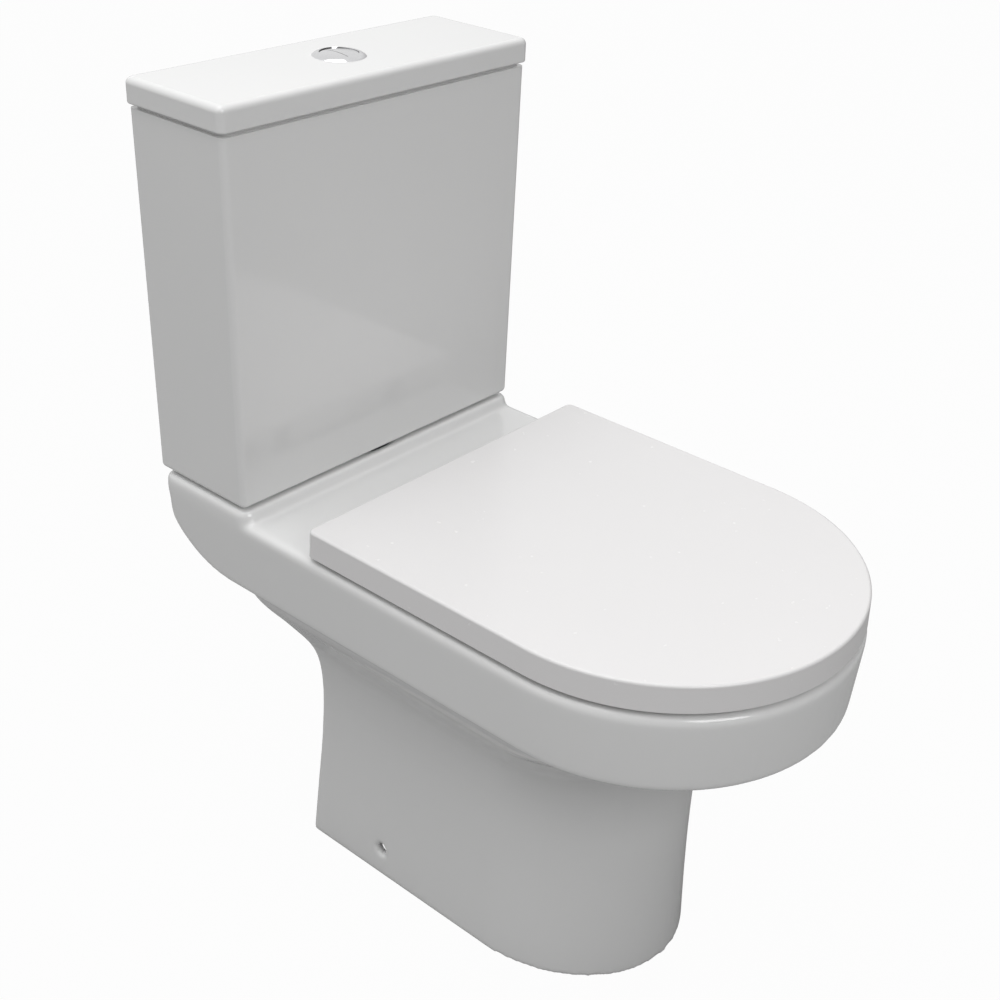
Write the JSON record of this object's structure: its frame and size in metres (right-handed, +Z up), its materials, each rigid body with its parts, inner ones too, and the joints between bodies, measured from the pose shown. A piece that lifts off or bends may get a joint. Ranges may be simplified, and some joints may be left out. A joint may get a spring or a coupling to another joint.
{
  "type": "close coupled toilet",
  "caption": "Close coupled toilet: D-shaped bowl on a skirted foot, tapered rectangular cistern, wrap-over seat and lid, round dual flush button.",
  "frame": {"origin": "on the floor, in the plane of symmetry, half way (to 1 mm) between the nose of the pan and the wall", "axes": "-Y is the front of the toilet, +Y the wall side, +Z up, +X to the right of someone who faces it"},
  "size_m": [0.372, 0.6355, 0.7859],
  "materials": {
    "glaze": "gloss",
    "seat_plastic": "gloss",
    "valve_plastic": "matte",
    "chrome": "polished",
    "rubber": "matte",
    "steel": "satin"
  },
  "bodies": {
    "toilet": {"pan": "glaze", "cistern": "glaze", "seat_hinge_posts": "chrome", "seat_hinge_pins": "steel", "seat_fixing_bolts": "steel", "seat_fixing_bushes": "rubber", "seat_fixing_washers": "valve_plastic", "seat_wing_nuts": "valve_plastic", "coupling_bolts": "steel", "coupling_bolt_seals": "rubber", "coupling_washers": "steel", "coupling_wing_nuts": "steel", "close_coupling_washer": "rubber", "flush_valve_base": "valve_plastic", "flush_valve_seal": "rubber", "flush_valve_backnut": "valve_plastic", "flush_valve_cage": "valve_plastic", "rocker_pin": "steel", "fill_valve_body": "valve_plastic", "fill_valve_cap": "valve_plastic", "inlet_strainer": "valve_plastic", "inlet_seal": "rubber", "inlet_backnut": "valve_plastic", "lever_pin": "steel"},
    "seat_ring": {"seat_ring": "seat_plastic", "seat_ring_buffers": "rubber"},
    "seat_lid": {"seat_lid": "seat_plastic", "seat_lid_buffers": "rubber"},
    "cistern_lid": {"cistern_lid": "glaze", "button_bezel": "chrome", "button_locknut": "valve_plastic", "full_flush_spring": "steel", "half_flush_spring": "steel"},
    "full_flush": {"full_flush_button": "chrome", "full_flush_rod": "valve_plastic"},
    "half_flush": {"half_flush_button": "chrome", "half_flush_rod": "valve_plastic"},
    "rocker": {"lift_rocker": "valve_plastic"},
    "flush_tube": {"overflow_tube": "valve_plastic", "flush_seal": "rubber"},
    "half_flush_slider": {"half_flush_slider": "valve_plastic"},
    "float": {"float_cup": "valve_plastic", "float_link": "valve_plastic"},
    "lever": {"fill_valve_lever": "valve_plastic"}
  },
  "joints": [
    {"name": "seat_ring_hinge", "type": "hinge", "parent": "toilet", "child": "seat_ring", "pos_m": [0, 0.102, 0.418], "axis": [-1, 0, 0], "range_deg": [0, 100]},
    {"name": "seat_lid_hinge", "type": "hinge", "parent": "seat_ring", "child": "seat_lid", "pos_m": [0, 0.102, 0.418], "axis": [1, 0, 0], "range_deg": [-100, 0]},
    {"name": "cistern_lid_lift", "type": "slide", "parent": "toilet", "child": "cistern_lid", "axis": [0, 0, 1], "range_m": [0, 0.09]},
    {"name": "full_flush_press", "type": "slide", "parent": "cistern_lid", "child": "full_flush", "axis": [0, 0, -1], "range_m": [0, 0.006], "stiffness_N_per_m": 300, "springref_m": -0.006, "deforming": ["full_flush_spring"]},
    {"name": "half_flush_press", "type": "slide", "parent": "cistern_lid", "child": "half_flush", "axis": [0, 0, -1], "range_m": [0, 0.006], "stiffness_N_per_m": 300, "springref_m": -0.006, "deforming": ["half_flush_spring"]},
    {"name": "rocker_turn", "type": "hinge", "parent": "toilet", "child": "rocker", "pos_m": [0, 0.257, 0.705], "axis": [0, 1, 0], "range_deg": [0, 26.5]},
    {"name": "flush_tube_lift", "type": "slide", "parent": "toilet", "child": "flush_tube", "axis": [0, 0, 1], "range_m": [0, 0.0097]},
    {"name": "half_flush_slide", "type": "slide", "parent": "toilet", "child": "half_flush_slider", "axis": [0, 0, -1], "range_m": [0, 0.006]},
    {"name": "float_rise", "type": "slide", "parent": "toilet", "child": "float", "axis": [0, 0, 1], "range_m": [0, 0.012]},
    {"name": "lever_turn", "type": "hinge", "parent": "toilet", "child": "lever", "pos_m": [-0.15, 0.257, 0.7125], "axis": [0, -1, 0], "range_deg": [0, 13.3]}
  ],
  "couplings": [
    {"joint": "rocker_turn", "follows": "full_flush_press", "rad_per_m": 76.923},
    {"joint": "flush_tube_lift", "follows": "full_flush_press", "ratio": 1.6154},
    {"joint": "half_flush_slide", "follows": "half_flush_press", "ratio": 1},
    {"joint": "lever_turn", "follows": "float_rise", "rad_per_m": 19.231}
  ]
}
